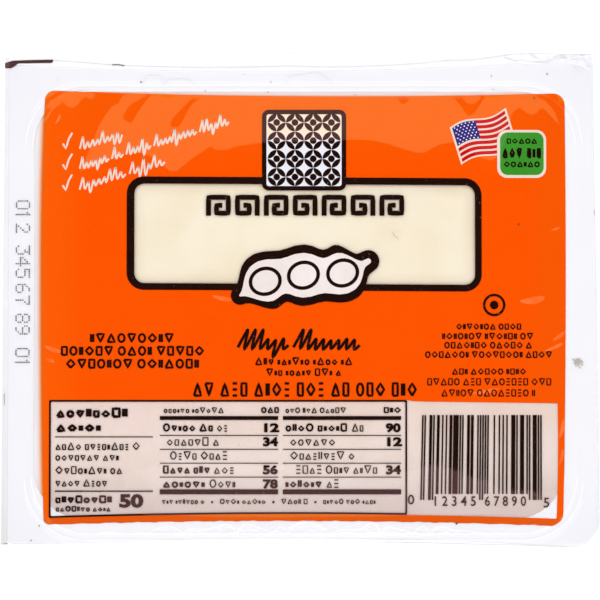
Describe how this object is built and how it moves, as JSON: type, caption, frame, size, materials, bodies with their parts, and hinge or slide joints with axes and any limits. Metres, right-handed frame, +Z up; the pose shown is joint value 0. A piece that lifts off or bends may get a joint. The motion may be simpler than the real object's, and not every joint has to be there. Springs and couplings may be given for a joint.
{
  "type": "sealed tofu pack",
  "caption": "Soft tofu set in a white plastic tray with a flange, under clear sealed lidding film printed with an orange label and a bare window.",
  "frame": {"origin": "centre of the tray base's underside, on the surface the pack stands on", "axes": "+X along the long side, to the right as the label is seen upright; +Y towards the top of the label, where the film stands proud of the flange; +Z up through the film"},
  "size_m": [0.14, 0.1156, 0.0553],
  "materials": {
    "white_plastic": "satin",
    "tofu": "moist",
    "clear_film": "gloss",
    "orange_ink": "gloss",
    "dark_ink": "gloss",
    "white_ink": "gloss",
    "accent_ink": "gloss"
  },
  "bodies": {
    "root": {"tray": "white_plastic", "tofu_block": "tofu", "lid_film": "clear_film"}
  },
  "joints": []
}
